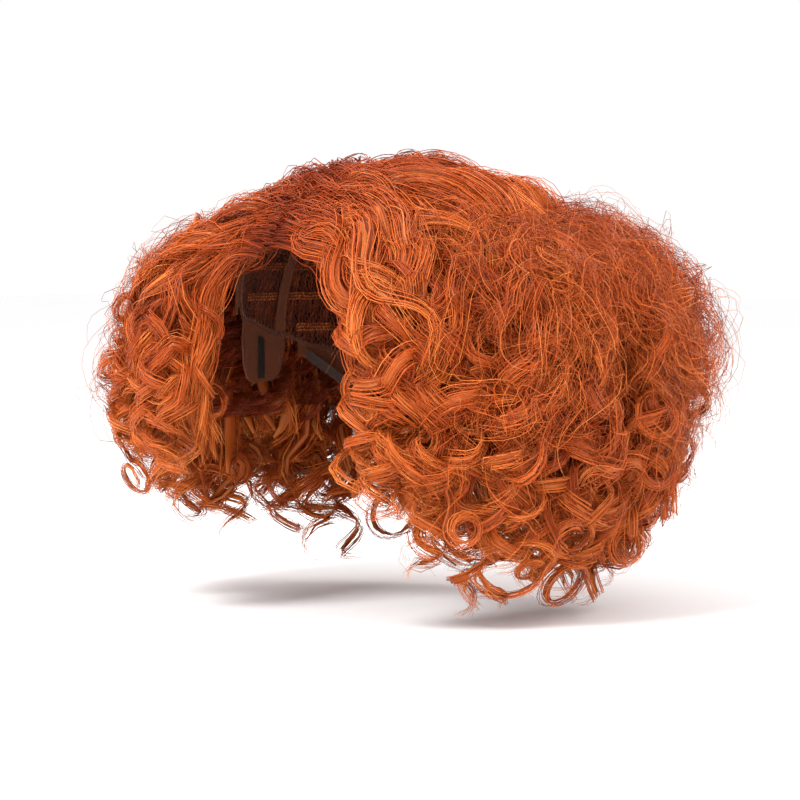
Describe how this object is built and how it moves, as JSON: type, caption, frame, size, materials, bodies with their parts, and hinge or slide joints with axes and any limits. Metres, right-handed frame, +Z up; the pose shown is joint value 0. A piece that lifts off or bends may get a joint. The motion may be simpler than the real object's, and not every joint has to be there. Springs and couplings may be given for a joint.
{
  "type": "costume wig",
  "caption": "Short, very full, curly costume wig in copper orange, parted above the face, on a stretchy open cap with hooks at the nape that set its size",
  "frame": {"origin": "the point of the cap's inside that rests on the crown of the head", "axes": "+Z up, the wearer faces -Y, the wearer's left is +X"},
  "size_m": [0.3718, 0.3179, 0.2635],
  "materials": {
    "hair": "glossy synthetic hair, copper orange, curled and teased",
    "weft_header": "sewn hair header, copper",
    "net": "brown stretch net",
    "ribbon": "brown woven elastic ribbon",
    "skin": "matte skin-toned film",
    "elastic": "dark brown knitted elastic",
    "plastic": "black moulded plastic",
    "label": "white woven satin label, blank"
  },
  "bodies": {
    "cap": {"adjuster_strap_left": "elastic", "adjuster_strap_right": "elastic", "cap_net": "net", "ear_tab_left": "ribbon", "ear_tab_right": "ribbon", "ear_tab_stay_left": "plastic", "ear_tab_stay_right": "plastic", "front_band": "ribbon", "hair_back_center": "hair", "hair_back_left": "hair", "hair_back_right": "hair", "hair_crown_back": "hair", "hair_crown_back_left": "hair", "hair_crown_back_right": "hair", "hair_curtain_ear_left": "hair", "hair_curtain_ear_right": "hair", "hair_curtain_front_left": "hair", "hair_curtain_front_right": "hair", "hair_fringe_left": "hair", "hair_front_sweep_left": "hair", "hair_front_sweep_right": "hair", "hair_ringlets_corner_left": "hair", "hair_ringlets_corner_right": "hair", "hair_ringlets_ear_left": "hair", "hair_ringlets_ear_right": "hair", "hair_ringlets_nape_center": "hair", "hair_ringlets_nape_left": "hair", "hair_ringlets_nape_right": "hair", "hair_ringlets_side_left": "hair", "hair_ringlets_side_right": "hair", "hair_side_front_left": "hair", "hair_side_front_right": "hair", "hair_side_rear_left": "hair", "hair_side_rear_right": "hair", "hair_side_sweep_left": "hair", "hair_side_sweep_right": "hair", "hair_tendril_left": "hair", "hair_tendril_right": "hair", "nape_band": "ribbon", "pocket_tape_left": "elastic", "pocket_tape_right": "elastic", "rib_back_left": "ribbon", "rib_back_right": "ribbon", "rib_center_back": "ribbon", "rib_side_left": "ribbon", "rib_side_right": "ribbon", "size_label": "label", "skin_top": "skin", "weft_track_back": "weft_header", "weft_track_crown": "weft_header", "weft_track_ear_level": "weft_header", "weft_track_high_back": "weft_header", "weft_track_lower_back": "weft_header", "weft_track_nape": "weft_header", "weft_track_top": "weft_header", "weft_track_upper_back": "weft_header"},
    "hook_left": {"adjuster_hook_left": "plastic"},
    "hook_right": {"adjuster_hook_right": "plastic"}
  },
  "joints": [
    {"name": "adjuster_left", "type": "hinge", "parent": "cap", "child": "hook_left", "pos_m": [-0.01011, 0.01194, -0.131], "axis": [0, 0, 1], "range_deg": [0, 18.3], "deforming": ["pocket_tape_left", "adjuster_strap_left"]},
    {"name": "adjuster_right", "type": "hinge", "parent": "cap", "child": "hook_right", "pos_m": [0.01011, 0.01194, -0.131], "axis": [0, 0, -1], "range_deg": [0, 18.3], "deforming": ["pocket_tape_right", "adjuster_strap_right"]}
  ]
}
